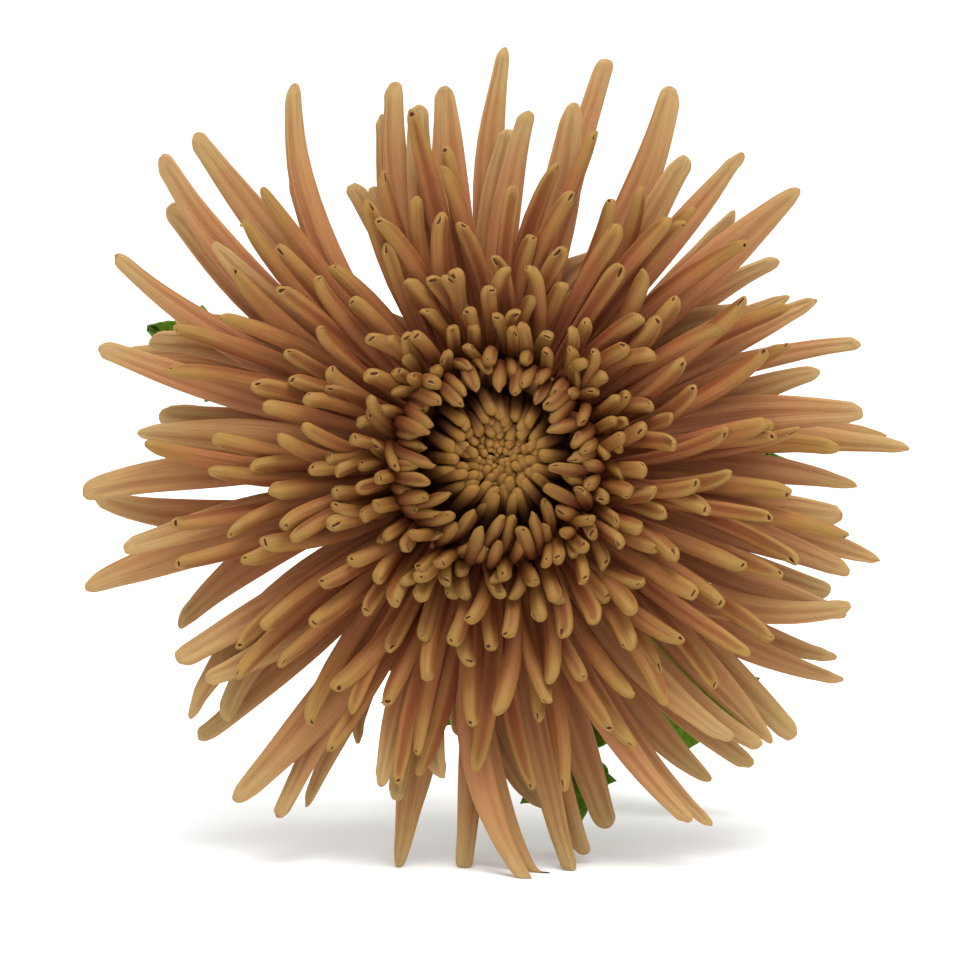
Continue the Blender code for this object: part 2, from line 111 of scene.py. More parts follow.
def tube(points, radius_at, sides, ribs=0):
    """A closed tube along the points. radius_at gives its radius at a share of the way."""
    bm = bmesh.new()
    rings = len(points) - 1
    bmesh.ops.create_cone(bm, cap_ends=True, segments=sides, radius1=1.0, radius2=1.0, depth=1.0)
    lengthwise = [edge for edge in bm.edges if abs(edge.verts[0].co.z - edge.verts[1].co.z) > 0.5]
    bmesh.ops.subdivide_edges(bm, edges=lengthwise, cuts=rings - 1)
    for vertex in bm.verts:
        share = vertex.co.z + 0.5
        ring = round(share * rings)
        before, after = points[max(0, ring - 1)], points[min(rings, ring + 1)]
        direction = (after - before).normalized()
        side = direction.cross(Vector((0, 0, 1))).normalized()
        angle = math.atan2(vertex.co.y, vertex.co.x)
        out = side * math.cos(angle) + side.cross(direction) * math.sin(angle)
        thick = radius_at(share) * (1 + RIB_HEIGHT * math.cos(angle * ribs) * bool(ribs))
        vertex.co = points[ring] + out * thick
    face_out(bm)
    return bm


def new_layers(bm, *names):
    """Adds a layer of one number a point for each name, and returns the layers."""
    for name in names:
        bm.verts.layers.float.new(name)
    return [bm.verts.layers.float[name] for name in names]


def finished(name, bm, placing=Matrix()):
    """The mesh as an object in place, smooth and pressed flat where it meets the table."""
    bmesh.ops.transform(bm, matrix=placing, verts=bm.verts)
    for vertex in bm.verts:
        vertex.co.z = max(vertex.co.z, 0.0)
    mesh = bpy.data.meshes.new(name)
    bm.to_mesh(mesh)
    bm.free()
    mesh.shade_smooth()
    made = bpy.data.objects.new(name, mesh)
    bpy.context.scene.collection.objects.link(made)
    return made


class Value:
    """A socket that carries a number, so that shader maths reads as a sum."""

    def __init__(self, finish, socket):
        self.finish = finish
        self.socket = socket

    def maths(self, operation, *terms):
        sockets = dict(enumerate(terms))
        return self.finish.value("ShaderNodeMath", {"operation": operation}, sockets)

    def __add__(self, other):
        return self.maths("ADD", self, other)

    def __sub__(self, other):
        return self.maths("SUBTRACT", self, other)

    def __rsub__(self, other):
        return self.maths("SUBTRACT", other, self)

    def __mul__(self, other):
        return self.maths("MULTIPLY", self, other)

    __radd__ = __add__
    __rmul__ = __mul__

    def band(self, low, high):
        """0 up to low, 1 from high on, and an easy S between. Low may be above high."""
        settings = {"interpolation_type": "SMOOTHSTEP"}
        sockets = {"Value": self, "From Min": low, "From Max": high}
        return self.finish.value("ShaderNodeMapRange", settings, sockets)


class Finish:
    """A material: a Principled shader, and the nodes that vary it."""

    def __init__(self, name, **constants):
        self.material = bpy.data.materials.new(name)
        self.material.use_nodes = True
        self.tree = self.material.node_tree
        self.shader = self.tree.nodes["Principled BSDF"]
        for socket, value in constants.items():
            self.feed(self.shader.inputs[socket.replace("_", " ")], value)

    def feed(self, socket, value):
        """Links or sets a socket. A colour may come as three numbers."""
        if isinstance(value, Value):
            self.tree.links.new(value.socket, socket)
        elif socket.type == "RGBA" and len(value) == 3:
            socket.default_value = (*value, 1.0)
        else:
            socket.default_value = value

    def value(self, kind, settings=None, sockets=None, output=0):
        """A new node of this kind, and the value that comes out of it."""
        node = self.tree.nodes.new(kind)
        for setting, choice in (settings or {}).items():
            if setting == "stops":
                ramp = node.color_ramp
                while len(ramp.elements) < len(choice):
                    ramp.elements.new(0.5)
                for element, (place, colour) in zip(ramp.elements, choice):
                    element.position = place
                    element.color = (*colour, 1.0)
            else:
                setattr(node, setting, choice)
        for socket, fed in (sockets or {}).items():
            self.feed(node.inputs[socket], fed)
        return Value(self, node.outputs[output])

    def attribute(self, name, output="Fac"):
        return self.value("ShaderNodeAttribute", {"attribute_name": name}, output=output)

    def place(self):
        return self.value("ShaderNodeTexCoord", output="Object")

    def stretched(self, vector, scale):
        """The vector with each of its axes scaled."""
        return self.value("ShaderNodeMapping", None, {"Vector": vector, "Scale": scale})

    def noise(self, vector, scale=1.0, detail=2.0):
        sockets = {"Vector": vector, "Scale": scale, "Detail": detail}
        return self.value("ShaderNodeTexNoise", None, sockets)

    def blend(self, share, under, over, how="MIX"):
        """The colour under, going to over, or to their product, as share goes from 0 to 1."""
        settings = {"data_type": "RGBA", "blend_type": how}
        return self.value("ShaderNodeMix", settings, {0: share, 6: under, 7: over}, output=2)

    def ramp(self, share, stops):
        return self.value("ShaderNodeValToRGB", {"stops": stops}, {"Fac": share})

    def relief(self, height, distance):
        """A bump of this height in metres, on the shader's normal."""
        sockets = {"Height": height, "Distance": distance, "Strength": 1.0}
        self.feed(self.shader.inputs["Normal"], self.value("ShaderNodeBump", None, sockets))


def stem_finish():
    finish = Finish("stem_rind", Specular_IOR_Level=0.4)
    place = finish.place()
    streaks = finish.noise(finish.stretched(place, (1500, 40, 1500)), detail=3)
    clouds = finish.noise(place, 55, 2)
    hairs = finish.noise(place, 3800, 2)
    joint = finish.attribute("joint")
    pith = finish.attribute("pith")
    rind = finish.blend(streaks.band(0.42, 0.72) * 0.75, STEM_COLOUR, STEM_STREAK)
    rind = finish.blend(clouds.band(0.45, 0.70) * 0.45, rind, STEM_BLUSH)
    rind = finish.blend(joint * 0.5, rind, STEM_STREAK)
    finish.feed(finish.shader.inputs["Base Color"], finish.blend(pith, rind, PITH_COLOUR))
    finish.feed(finish.shader.inputs["Roughness"], 0.46 + streaks * 0.22)
    finish.relief(streaks * 0.7 + hairs * 0.3, 0.00022)
    return finish.material


stem_line = interpolate_bezier(
    BLOOM_PLACE - FORWARD * STEM_FRONT,
    FLOWER_BASE + STEM_MIDDLE[0],
    FLOWER_BASE + STEM_MIDDLE[1],
    FLOWER_BASE + STEM_CUT_END,
    STEM_RINGS + 1,
)
stem_length = sum((end - start).length for start, end in zip(stem_line, stem_line[1:]))
joint_shares = [(distance - STEM_FRONT) / stem_length for distance in JOINT_DISTANCES]


def near_joint(share):
    return sum(bump_at(share, joint, JOINT_LENGTH / stem_length) for joint in joint_shares)


stem_bm = tube(
    stem_line,
    lambda share: mix(*STEM_RADII, share) + JOINT_SWELLING * near_joint(share),
    STEM_SIDES,
    STEM_RIBS,
)
joint_layer, pith_layer = new_layers(stem_bm, "joint", "pith")
for vertex in stem_bm.verts:
    reached = min(range(STEM_RINGS + 1), key=lambda step: (stem_line[step] - vertex.co).length)
    vertex[joint_layer] = min(1.0, near_joint(reached / STEM_RINGS))
cut_face = max(stem_bm.faces, key=lambda face: face.calc_center_median().y)
for inset_width, sunk, pith in CUT_INSETS:
    bmesh.ops.inset_region(stem_bm, faces=[cut_face], thickness=inset_width, depth=-sunk)
    for vertex in cut_face.verts:
        vertex[pith_layer] = pith
stem = finished("stem_stalk", stem_bm)
stem.data.materials.append(stem_finish())
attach(stem, "root")
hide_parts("stem")

# Leaves: six soft, lobed and toothed leaves, each on a short stalk that runs on as its midrib.
# They grew from the stem's joints and arch out and down. The blade is thin, matt green tissue,
# sunk along its veins, and paler and felted below.
LEAF_THICKNESS = 0.00045
# Joint, clock angle, reach, distance back, recurve and half width of each leaf
LEAVES = (
    (0.027, 166.5, 0.0590, 0.012, 36, 0.0118),
    (0.038, 293.3, 0.0640, 0.011, 42, 0.0100),
    (0.050, 197, 0.0455, 0.024, 40, 0.0115),
    (0.062, 137, 0.0585, 0.022, 42, 0.0140),
    (0.078, 95, 0.0450, 0.022, 45, 0.0145),
    (0.102, 43, 0.0455, 0.028, 48, 0.0150),
)
# Shares of the leaf's arc at which the blade starts and ends
BLADE_SPAN = (0.22, 0.95)
# Share of the stem's radius at which a stalk is rooted
LEAF_ROOT = 0.6
LEAF_VEIN_ANGLE = math.radians(38)
# Width of the blade from its foot to its tip, out to the lobes and in to the bays
LEAF_OUTLINE = (
    0.10, 0.30, 0.66, 0.36, 0.88, 0.98, 0.52, 1.00, 0.60, 0.84, 0.44, 0.26, 0.03,
)
LEAF_VEINS = (0.17, 0.37, 0.58, 0.75, 0.88)
LEAF_ACROSS = 22
LEAF_ALONG = 92
TEETH = 26
TOOTH_DEPTH = 0.075
VEIN_DEPTH = 0.00030
SIDE_VEIN_WIDTH = 0.009
MIDRIB_WIDTH = 0.06
# The blade's rise to each side as a share of its width, and the heights of its waves and of
# the quilting between its veins
BLADE_RISE = 0.22
BLADE_WAVE = 0.0011
BLADE_QUILTING = 0.0008
# Share of the leaf's arc, how deep the stalk is sunk below the blade there, and its radius
STALK = (
    (0.0, 0.0002, 0.0017), (0.08, 0.0, 0.0012), (0.25, 0.0003, 0.0010), (0.48, 0.0004, 0.0008),
    (0.68, 0.0004, 0.0005), (0.90, 0.0003, 0.0002),
)
STALK_RINGS = 40
STALK_SIDES = 12
STALK_PALENESS = 0.3
LEAF_UPPER = (0.098, 0.205, 0.010)
LEAF_DEEP = (0.056, 0.125, 0.006)
LEAF_VEIN = (0.150, 0.250, 0.035)
LEAF_UNDER = (0.105, 0.160, 0.075)
LEAF_OLD = (0.130, 0.115, 0.028)


def clock(degrees):
    """Angle anticlockwise from the right of a clock angle, seen from in front of the bloom."""
    return math.radians(90 - degrees)


def along(values, share):
    """The value at this share of an evenly spaced list."""
    place = min(1.0, max(0.0, share)) * (len(values) - 1)
    low = min(int(place), len(values) - 2)
    return mix(values[low], values[low + 1], place - low)


class Arc:
    """An arc from root to tip, both (radius, height), in the plane at one azimuth of the axis.

    It turns by bend towards the axis. sway carries its tip round the axis.
    """

    def __init__(self, azimuth, root, tip, bend, sway=0.0):
        run, climb = tip[0] - root[0], tip[1] - root[1]
        self.azimuth = azimuth
        self.root = root
        self.bend = bend
        self.start = math.atan2(climb, run) - bend / 2
        self.radius = math.hypot(run, climb) / (2 * math.sin(bend / 2))
        self.length = self.radius * bend
        self.sway = sway

    def frame(self, share):
        """The point, direction, side and upper normal at a share of the length."""
        angle = self.start + self.bend * share
        out = self.root[0] + self.radius * (math.sin(angle) - math.sin(self.start))
        up = self.root[1] - self.radius * (math.cos(angle) - math.cos(self.start))
        turn = self.azimuth + self.sway * share * share
        radial = Vector((math.cos(turn), math.sin(turn), 0))
        axis = Vector((0, 0, 1))
        direction = radial * math.cos(angle) + axis * math.sin(angle)
        normal = axis * math.cos(angle) - radial * math.sin(angle)
        return radial * out + axis * up, direction, normal.cross(direction), normal


def add_to(whole, bm):
    """Moves a small mesh into the whole one."""
    mesh = bpy.data.meshes.new("part")
    bm.to_mesh(mesh)
    bm.free()
    whole.from_mesh(mesh)
    bpy.data.meshes.remove(mesh)


def leaf_blade(arc, half_width, wave):
    """The lobed, toothed blade, with its side veins running obliquely forward."""
    bm = bmesh.new()
    vein_layer, under_layer = new_layers(bm, "vein", "under")
    bmesh.ops.create_grid(bm, x_segments=LEAF_ACROSS, y_segments=LEAF_ALONG, size=1.0)
    for vertex in bm.verts:
        v = vertex.co.x
        u = (vertex.co.y + 1) / 2
        tooth = 1 - TOOTH_DEPTH * (1 - abs(math.sin(math.pi * TEETH * u))) * v * v
        wide = half_width * along(LEAF_OUTLINE, u)
        reach = abs(v) * wide * math.sin(LEAF_VEIN_ANGLE) / arc.length
        point, _, side, normal = arc.frame(mix(*BLADE_SPAN, u) + reach)
        fade = smooth(1.15 - abs(v))
        vein = max(bump_at(u, place, SIDE_VEIN_WIDTH) * fade for place in LEAF_VEINS)
        vein = max(vein, bump_at(v, 0, MIDRIB_WIDTH))
        rise = BLADE_RISE * abs(v) * wide
        rise += BLADE_WAVE * v * v * math.sin(9 * u + wave + 2 * v)
        rise += BLADE_QUILTING * math.sin(58 * u + 5 * abs(v)) * abs(v) * (1 - abs(v))
        rise -= VEIN_DEPTH * vein
        outward = side * v * wide * tooth * math.cos(LEAF_VEIN_ANGLE)
        vertex.co = point + outward + normal * rise
        vertex[vein_layer] = vein
    bm.normal_update()
    first_side = set(bm.verts)
    bmesh.ops.solidify(bm, geom=list(bm.faces), thickness=LEAF_THICKNESS)
    face_out(bm)
    sides = (first_side, set(bm.verts) - first_side)
    for vertex in min(sides, key=lambda side: sum(vertex.co.z for vertex in side)):
        vertex[under_layer] = 1.0
    return bm


def stalk_at(share):
    """How deep the stalk is sunk and its radius, at a share of the leaf's arc."""
    low = max(row for row in range(len(STALK) - 1) if STALK[row][0] <= share)
    start, end = STALK[low], STALK[low + 1]
    part = (share - start[0]) / (end[0] - start[0])
    return mix(start[1], end[1], part), mix(start[2], end[2], part)


def leaf_stalk(arc):
    """The round stalk, which runs on below the blade as its midrib."""
    line, radii = [], []
    for step in range(STALK_RINGS + 1):
        share = step / STALK_RINGS * STALK[-1][0]
        point, _, _, normal = arc.frame(share)
        sunk, radius = stalk_at(share)
        line.append(point - normal * sunk)
        radii.append(radius)
    bm = tube(line, lambda share: along(radii, share), STALK_SIDES)
    vein_layer, under_layer = new_layers(bm, "vein", "under")
    for vertex in bm.verts:
        vertex[vein_layer] = 1.0
        vertex[under_layer] = STALK_PALENESS
    return bm


def leaf_finish():
    finish = Finish("leaf_blade", Specular_IOR_Level=0.05, Subsurface_Weight=0.06)
    finish.feed(finish.shader.inputs["Subsurface Radius"], (0.3, 1.0, 0.2))
    finish.feed(finish.shader.inputs["Subsurface Scale"], 0.0015)
    place = finish.place()
    vein = finish.attribute("vein")
    under = finish.attribute("under")
    cells = finish.value(
        "ShaderNodeTexVoronoi", {"feature": "DISTANCE_TO_EDGE"}, {"Vector": place, "Scale": 620.0}
    )
    clouds = finish.noise(place, 70, 3)
    grain = finish.noise(place, 1500, 3)
    netting = 1 - cells.band(0.0, 0.14)
    upper = finish.blend(clouds.band(0.30, 0.72), LEAF_DEEP, LEAF_UPPER)
    upper = finish.blend(netting * 0.30, upper, LEAF_VEIN)
    upper = finish.blend(vein.band(0.25, 0.95) * 0.80, upper, LEAF_VEIN)
    upper = finish.blend(clouds.band(0.66, 0.80) * 0.35, upper, LEAF_OLD)
    lower = finish.blend(netting * 0.35 + grain * 0.25, LEAF_UNDER, LEAF_VEIN)
    finish.feed(finish.shader.inputs["Base Color"], finish.blend(under, upper, lower))
    finish.feed(finish.shader.inputs["Roughness"], 0.44 + grain * 0.16 + under * 0.22)
    finish.relief(cells.band(0.0, 0.30) * 0.7 + grain * 0.3, 0.00018)
    return finish.material


leaf_material = leaf_finish()
for index, (distance, hour, reach, run, recurve, half_width) in enumerate(LEAVES):
    joint, ahead = station_on(stem_line, distance - STEM_FRONT)
    root = (mix(*STEM_RADII, 0.2) * LEAF_ROOT, 0)
    arc = Arc(clock(hour), root, (reach, run), -math.radians(recurve))
    leaf_bm = leaf_blade(arc, half_width, random.Random(20 + index).uniform(0, 6))
    add_to(leaf_bm, leaf_stalk(arc))
    leaf = finished(f"leaf_blade_{index + 1}", leaf_bm, facing(ahead, joint))
    leaf.data.materials.append(leaf_material)
    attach(leaf, "root")
    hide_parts(f"leaf_{index + 1}")

# Involucre: the green cup under the bloom, which swells out of the stem's top and holds the
# florets' feet together. It grew as a bowl of firm tissue, covered by overlapping rows of small
# bracts with thin, papery, brownish edges.
BLOOM_PLACING = facing(FORWARD, BLOOM_PLACE)
CUP_PROFILE = (
    (0, -0.0053), (0.0100, -0.0053), (0.0108, -0.0068), (0.0096, -0.0098),
    (0.0066, -0.0126), (0.0038, -0.0143), (0.0031, -0.0158), (0.0028, -0.0164), (0, -0.0164),
)
CUP_STEPS = 40
# Number of bracts in each row, their root and tip as (radius, height), and their width
BRACT_ROWS = (
    (13, (0.0050, -0.0106), (0.0128, -0.0062), 0.0056),
    (11, (0.0040, -0.0122), (0.0118, -0.0080), 0.0054),
    (9, (0.0032, -0.0134), (0.0102, -0.0097), 0.0052),
)
BRACT_STATIONS = (0.0, 0.25, 0.50, 0.70, 0.85, 0.95, 1.0)
BRACT_SIDES = 12
BRACT_DEPTH = 0.0012
BRACT_BEND = math.radians(44)
BRACT_GREEN = (0.085, 0.135, 0.032)
BRACT_PALE = (0.26, 0.30, 0.13)
BRACT_EDGE = (0.30, 0.20, 0.10)
# Steps from one floret's tone and grain to the next one's
TONE_STEP = 0.618034
GRAIN_STEP = 7.3


class Floret:
    """A closed tube along an arc: a slim neck that swells to its peak, tapers and ends round."""

    def __init__(self, arc, width, depth, neck, peak, taper=0.0, roll=0.0, folds=(), end=0.8):
        self.arc = arc
        self.width = width
        self.depth = depth
        self.neck = neck
        self.peak = peak
        self.taper = taper
        self.roll = Matrix.Rotation(roll, 2)
        self.folds = folds
        self.cap = min(0.35, end * width / arc.length)

    def swell(self, share):
        """Share of the full width."""
        body = mix(self.neck, 1.0, smooth(share / self.peak))
        body *= 1 - self.taper * smooth((share - self.peak) / (1 - self.peak))
        past = max(0.0, (share - (1 - self.cap)) / self.cap)
        return body * math.sqrt(max(0.0, 1 - past ** 2.4))

    def fold(self, across, share):
        """How much of its thickness is left where grooves run along its upper side."""
        fade = smooth(share / 0.3) * smooth((1 - share) / 0.07)
        left = 1.0
        for place, wide, deep in self.folds:
            left *= 1 - deep * fade * math.exp(-abs(across - place) / wide)
        return left

    def surface(self, share, angle):
        point, _, side, normal = self.arc.frame(share)
        half = self.swell(share) / 2
        across = math.sin(angle)
        above = math.cos(angle)
        if above > 0:
            above *= self.fold(across, share)
        flat = self.roll @ Vector((across * self.width * half, above * self.depth * half))
        return point + side * flat.x + normal * flat.y


def new_bloom_mesh():
    """An empty mesh with the layers that the florets' and bracts' finishes read."""
    bm = bmesh.new()
    new_layers(bm, "along", "tone", "mouth", "crease", "young")
    bm.verts.layers.float_vector.new("grain")
    return bm


def strayed(draw, most):
    """A small step in a random direction, up to this far along each axis."""
    return Vector([draw.uniform(-most, most) for axis in range(3)])


def drawn_out(floret, stations, sides, number, uneven=0.0, young=0.0):
    """A sphere drawn out along the floret, and the (ring, angle) of each of its points."""
    draw = random.Random(number)
    bm = new_bloom_mesh()
    along_layer = bm.verts.layers.float["along"]
    tone_layer = bm.verts.layers.float["tone"]
    crease_layer = bm.verts.layers.float["crease"]
    young_and_shaded_layer = bm.verts.layers.float["young"]
    grain_layer = bm.verts.layers.float_vector["grain"]
    rings = len(stations) - 1
    bmesh.ops.create_uvsphere(bm, u_segments=sides, v_segments=rings, radius=1.0)
    places = {}
    for vertex in bm.verts:
        latitude = math.acos(max(-1.0, min(1.0, -vertex.co.z)))
        angle = math.atan2(vertex.co.x, vertex.co.y)
        places[vertex] = (round(latitude / math.pi * rings), angle)
    drift = [strayed(draw, 1) for ring in range(len(stations))]
    for vertex, (ring, angle) in places.items():
        share = stations[ring]
        vertex.co = floret.surface(share, angle)
        most = uneven * smooth((share - 0.25) / 0.4)
        vertex.co += strayed(draw, most)
        vertex.co += drift[ring] * most * 1.2
        vertex[along_layer] = share
        vertex[young_and_shaded_layer] = young
        if math.cos(angle) > 0:
            vertex[crease_layer] = 1 - floret.fold(math.sin(angle), share)
        vertex[tone_layer] = number * TONE_STEP % 1.0
        # Millimetres across and along the floret
        around = math.sin(angle) * floret.width * 500 + math.cos(angle) * floret.depth * 250
        vertex[grain_layer] = (around, share * floret.arc.length * 1000, number * GRAIN_STEP)
    face_out(bm)
    bm.normal_update()
    return bm, places


def turned(bm, profile, steps):
    """A solid of revolution about Z, from (radius, height) pairs running top to bottom."""
    points = [bm.verts.new((radius, 0, height)) for radius, height in profile]
    edges = [bm.edges.new(pair) for pair in zip(points, points[1:])]
    bmesh.ops.spin(
        bm,
        geom=points + edges,
        cent=(0, 0, 0),
        axis=(0, 0, 1),
        angle=2 * math.pi,
        steps=steps,
        use_merge=True,
    )
    bmesh.ops.remove_doubles(bm, verts=bm.verts, dist=0.000001)
    face_out(bm)


def rounded(made):
    """One smoothing pass over a coarse mesh."""
    rounding = made.modifiers.new("rounding", "SUBSURF")
    rounding.levels = 1
    rounding.render_levels = 1


def bract_finish():
    finish = Finish("bract_skin", Specular_IOR_Level=0.35)
    place = finish.place()
    share = finish.attribute("along")
    grain = finish.attribute("grain", "Vector")
    ribs = finish.noise(finish.stretched(grain, (2.6, 0.16, 1)), 1.0, 2)
    clouds = finish.noise(place, 210, 2)
    green = finish.blend(ribs.band(0.35, 0.70), BRACT_GREEN, BRACT_PALE)
    edge = (share + clouds * 0.14).band(0.93, 1.02)
    finish.feed(finish.shader.inputs["Base Color"], finish.blend(edge * 0.85, green, BRACT_EDGE))
    finish.feed(finish.shader.inputs["Roughness"], 0.5 + clouds * 0.25)
    finish.relief(ribs, 0.00016)
    return finish.material


cup_bm = new_bloom_mesh()
turned(cup_bm, CUP_PROFILE, CUP_STEPS)
for row, (count, root, tip, width) in enumerate(BRACT_ROWS):
    for index in range(count):
        turn = (index + row / 2) * 2 * math.pi / count
        bract_arc = Arc(turn, root, tip, BRACT_BEND)
        bract = Floret(bract_arc, width, BRACT_DEPTH, neck=0.8, peak=0.45)
        add_to(cup_bm, drawn_out(bract, BRACT_STATIONS, BRACT_SIDES, index + 20 * row)[0])
involucre = finished("involucre_cup", cup_bm, BLOOM_PLACING)
rounded(involucre)
involucre.data.materials.append(bract_finish())
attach(involucre, "root")
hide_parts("involucre")

# Long ray florets: the outer whorls of the bloom, closed tubes pressed nearly flat, with one or
# two folds along them, and a row of short ones behind. They grew from a solid core, which is in
# this piece. Their skin is satin, bronze pink near the root and pale gold at the tips.
CORE_PROFILE = (
    (0, 0.0071), (0.0143, 0.0071), (0.0162, 0.0050), (0.0166, 0.0010),
    (0.0146, -0.0030), (0.0105, -0.0049), (0, -0.0050),
)
CORE_STEPS = 48
ROOT_RADIUS = (0.0090, 0.0150)
MILLIMETRE = 0.001
# Clock angle, reach, lean to the side and width of each long floret, in degrees and millimetres
LONG_FLORETS = (
    (1.3, 66.8, -4.5, 4.9), (3.9, 55.9, -5.5, 7.8), (12.3, 57.7, 2.3, 7),
    (15.2, 67.2, -1.4, 4.6), (24.8, 65.7, 5.3, 6), (31.8, 56.3, 1, 5.7), (37.9, 63.4, -1.5, 5),
    (42.9, 55.1, 3.7, 5.3), (47.7, 63.9, -0.6, 6.8), (53.2, 55.4, -5.8, 4.5),
    (58.8, 47.1, -14, 5.7), (61.5, 55.8, -1.6, 8.3), (70.8, 60.5, -7.5, 3.9),
    (73.4, 52.7, -0.6, 5.2), (82, 57.4, -5.6, 6.9), (85.9, 64.6, -5.7, 7.4),
    (93, 56.4, -5.6, 4.9), (98.5, 54.1, 1.4, 5.9), (104.6, 61.8, -3.1, 9.1),
    (111.6, 59, 2.9, 7.7), (111.9, 59.1, 16.3, 5.4), (120, 63.4, 8.3, 7.7),
    (133.6, 62.6, -2.2, 8.9), (138.1, 59.8, 7.6, 7.8), (139.1, 60.9, 6.9, 5.3),
    (145.5, 59, 8.4, 6.2), (150.2, 65, 8.6, 7.2), (162.5, 58.5, 1, 5.9), (168.2, 64, 3.1, 7.1),
    (174.1, 67.4, 14.7, 7.7), (172.1, 53.1, 17.1, 6.1), (184.4, 62.8, 0.3, 4.8),
    (189.7, 49.2, 13, 6.1), (186.8, 42.1, 7.5, 5.9), (193.4, 64.4, 2.5, 6.2),
    (197.9, 54, 4.5, 7.5), (206.7, 47.8, 12, 5), (210.4, 63.8, 3.2, 7.1), (217.7, 65.6, -4, 6.9),
    (227.7, 62.3, -1.7, 5), (228.8, 61.3, 12.4, 8.9), (238.3, 57.7, -1.1, 5.7),
    (243.7, 55.2, 11.5, 6.5), (253.6, 66.4, 3, 6.9), (257, 58.7, 3.4, 5.3),
    (266.3, 62.8, -10.8, 5.9), (266.6, 64.1, 5.1, 6), (275, 55.5, 2.3, 6.4),
    (279.8, 51.8, -1.6, 7), (278.9, 52.8, 1.8, 5.5), (286.5, 63.8, -1.7, 4.8),
    (288.9, 61.7, 10, 8.7), (294.9, 54.9, 10.2, 5.4), (298.9, 67.1, -6.2, 4.8),
    (309.3, 66, -6.4, 6.4), (313.2, 71.3, -9.2, 5.8), (308.3, 55.8, -4.1, 5.4),
    (318.4, 71, -3.8, 5.9), (324.8, 55.3, -7.4, 4.7), (332.2, 67, -16, 5.1),
    (335, 50.7, 3.7, 7.2), (344, 62, -8.8, 7.6), (348, 57.3, -5.8, 5.7),
    (352.6, 61.1, -3.1, 6.6), (26.6, 38, -19.7, 6.8), (233.1, 55.7, -6.6, 4.9),
    (23.4, 31, 0, 5.5),
)
# Heights of the roots and the tips of the lowest and the highest long florets
LONG_ROOT_HEIGHT = (-0.0018, 0.0008)
LONG_TIP_HEIGHT = (-0.0085, 0.0030)
LONG_BEND = math.radians(11)
LONG_DEPTH = 0.0021
LONG_UNEVEN = 0.00012
LONG_SIDES = 16
# Widths, in millimetres, from which a floret has two folds, and from which it is a pair
TWO_FOLD_WIDTH = 3.8
PAIR_WIDTH = 7.1
PAIR_SHARE = 0.66
PAIR_ASIDE = 0.19
LONG_BODY = (0.0, 0.20, 0.38, 0.52, 0.66, 0.80, 0.91)
LONG_CAP = (1.0, 0.68, 0.42, 0.22, 0.07, 0.0)
SHORT_COUNT = 26
SHORT_REACH = 26.0
SHORT_WIDTH = 6.4
SHORT_LAYER = -0.3
# Colours from the root of a floret to its tip
LONG_COLOURS = (
    (0.00, (0.315, 0.111, 0.042)),
    (0.30, (0.364, 0.144, 0.053)),
    (0.58, (0.349, 0.158, 0.057)),
    (0.80, (0.349, 0.193, 0.069)),
    (0.95, (0.357, 0.239, 0.092)),
)
LONG_BLUSH = (0.390, 0.130, 0.065)
# Painted shade in the slit of each mouth
MOUTH_SHADE = (0.105, 0.034, 0.018)
# A painted highlight on the raised lip round each mouth
MOUTH_LIP_HIGHLIGHT = (0.420, 0.280, 0.105)
# Painted shade along the creases of the folds
CREASE_SHADE = (0.62, 0.36, 0.30)
TIP_BROWN = (0.170, 0.060, 0.028)
# Inner florets: their own colour, and painted shade deep in the bloom that darkens them, their
# feet most
YOUNG_FOOT_SHADE = (0.36, 0.27, 0.21)
YOUNG_SKIN_AND_SHADE = (0.74, 0.62, 0.50)


def stations_of(floret, body, cap):
    """Shares of the length: evenly shared out up to the cap, then closer together."""
    return [share * (1 - floret.cap) for share in body] + [1 - floret.cap * part for part in cap]


